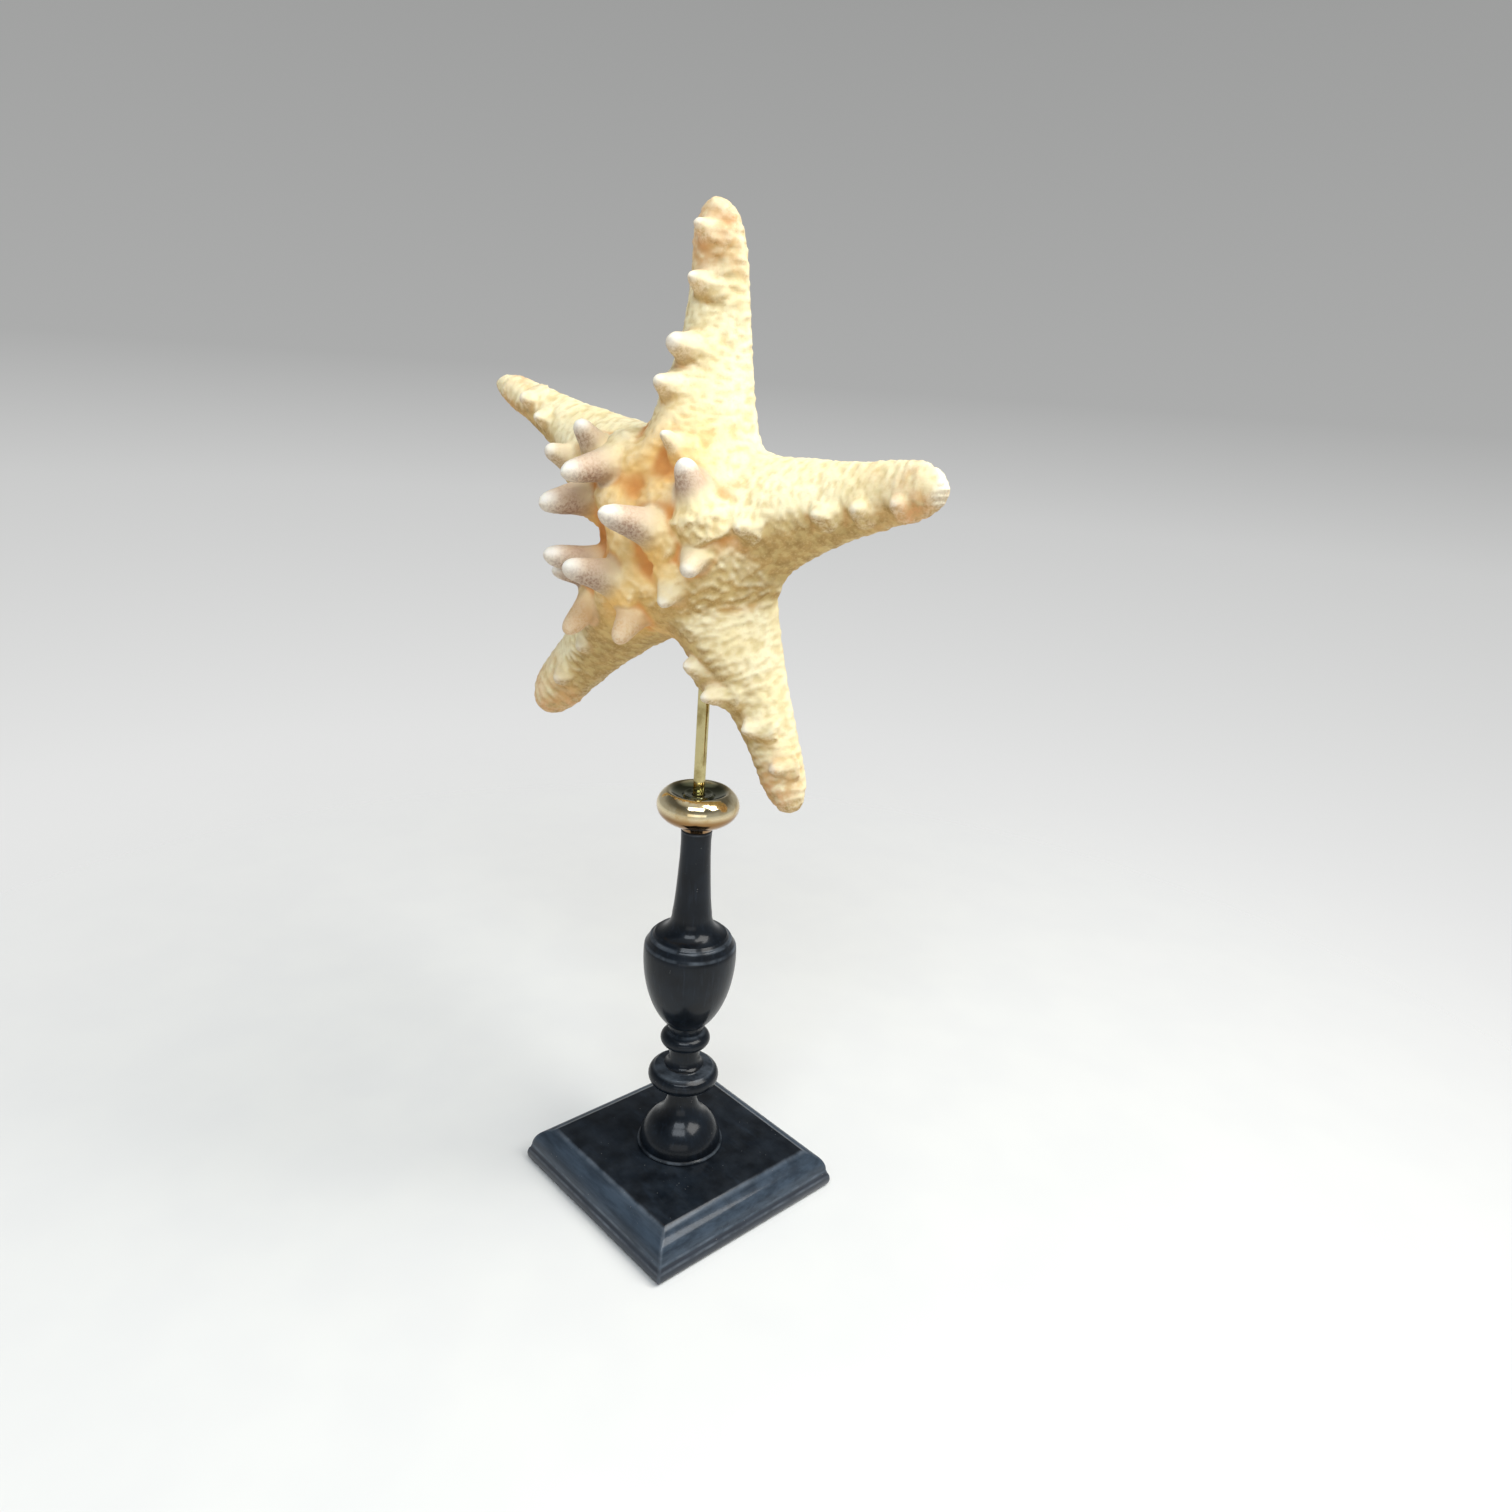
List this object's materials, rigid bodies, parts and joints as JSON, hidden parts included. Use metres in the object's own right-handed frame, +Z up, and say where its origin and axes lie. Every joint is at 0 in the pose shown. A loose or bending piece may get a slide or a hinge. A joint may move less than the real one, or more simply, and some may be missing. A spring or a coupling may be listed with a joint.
{
  "type": "dried starfish on a display stand",
  "caption": "Dried horned starfish held upright on a brass rod above a turned dark wooden column and moulded square base.",
  "frame": {"origin": "centre of the base's underside", "axes": "+Z up along the column and rod; the base's sides run along X and Y; the starfish's horned side faces -Y"},
  "size_m": [0.1731, 0.0809, 0.3321],
  "materials": {
    "ebonised_wood": "satin",
    "polished_brass": "polished",
    "starfish_skin": "matte"
  },
  "bodies": {
    "root": {"base_plinth": "ebonised_wood", "turned_column": "ebonised_wood", "brass_bun": "polished_brass", "brass_rod": "polished_brass", "starfish": "starfish_skin"}
  },
  "joints": []
}
